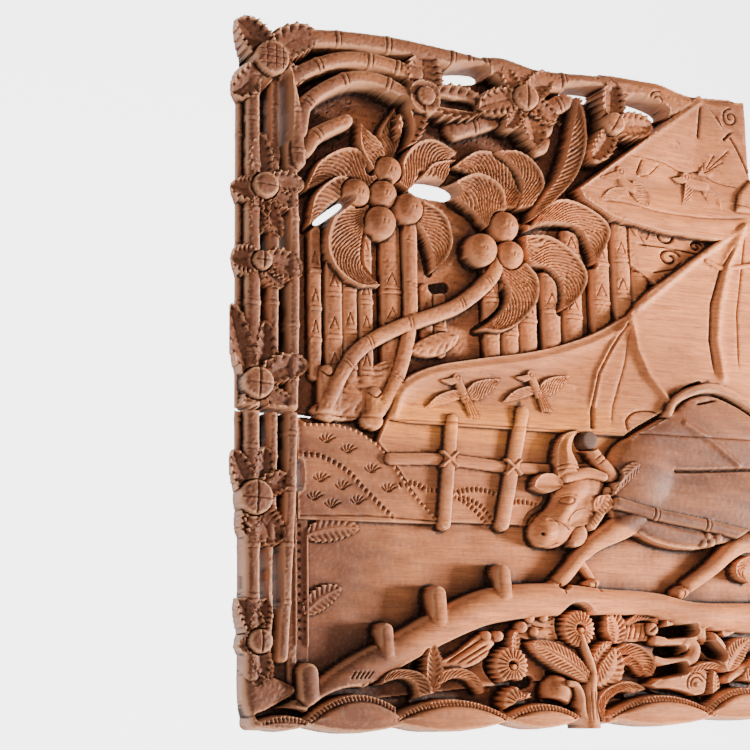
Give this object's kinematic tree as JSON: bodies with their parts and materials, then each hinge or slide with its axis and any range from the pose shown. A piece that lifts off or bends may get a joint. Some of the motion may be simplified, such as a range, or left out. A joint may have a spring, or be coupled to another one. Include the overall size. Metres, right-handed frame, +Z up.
{
  "type": "carved wooden wall panel",
  "caption": "Deep relief carved teak wall panel with palms, bamboo, tents, a harnessed water buffalo on a curved log and a pierced flower border, cut square at one side.",
  "frame": {"origin": "middle of the flat back, where the panel meets the wall", "axes": "+Y out of the back into the wall, the carving faces -Y, +Z up, +X along the panel from its carved left end to its sawn right end"},
  "size_m": [0.549, 0.039, 0.6202],
  "materials": {
    "teak_upper": "oiled and waxed, semi-gloss",
    "teak_lower": "oiled and waxed, semi-gloss",
    "plug_wood": "dull dark end grain"
  },
  "bodies": {
    "root": {"upper_board": "teak_upper", "lower_board": "teak_lower", "horn_plug": "plug_wood"}
  },
  "joints": []
}
